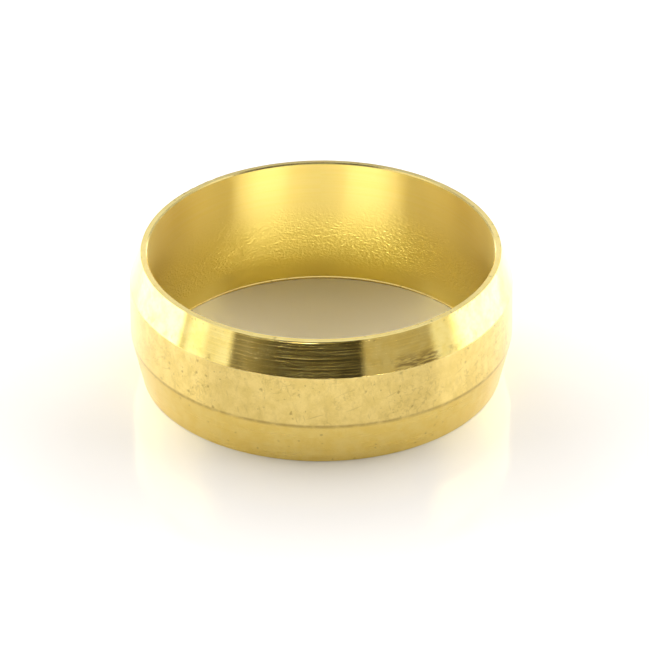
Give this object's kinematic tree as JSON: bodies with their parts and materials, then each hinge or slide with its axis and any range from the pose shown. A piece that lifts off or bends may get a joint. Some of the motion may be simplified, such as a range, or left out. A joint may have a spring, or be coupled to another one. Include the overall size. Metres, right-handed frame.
{
  "type": "compression olive",
  "caption": "Turned brass ring with a plain bore and a straight land between an upper and a lower taper, squeezed by a compression fitting's nut to seal it on a tube.",
  "frame": {"origin": "middle of the lower rim's plane, on the bore's axis; the ring stands on that rim", "axes": "+Z along the bore, from the lower rim, at the end of the long taper, to the upper rim; X and Y are free, because the ring is round"},
  "size_m": [0.0244, 0.0244, 0.0088],
  "materials": {
    "brass": "bright as turned: fine turning lines on the tapers, a satin land with small pits and scratches, and a lightly dimpled bore"
  },
  "bodies": {
    "root": {"olive": "brass"}
  },
  "joints": []
}
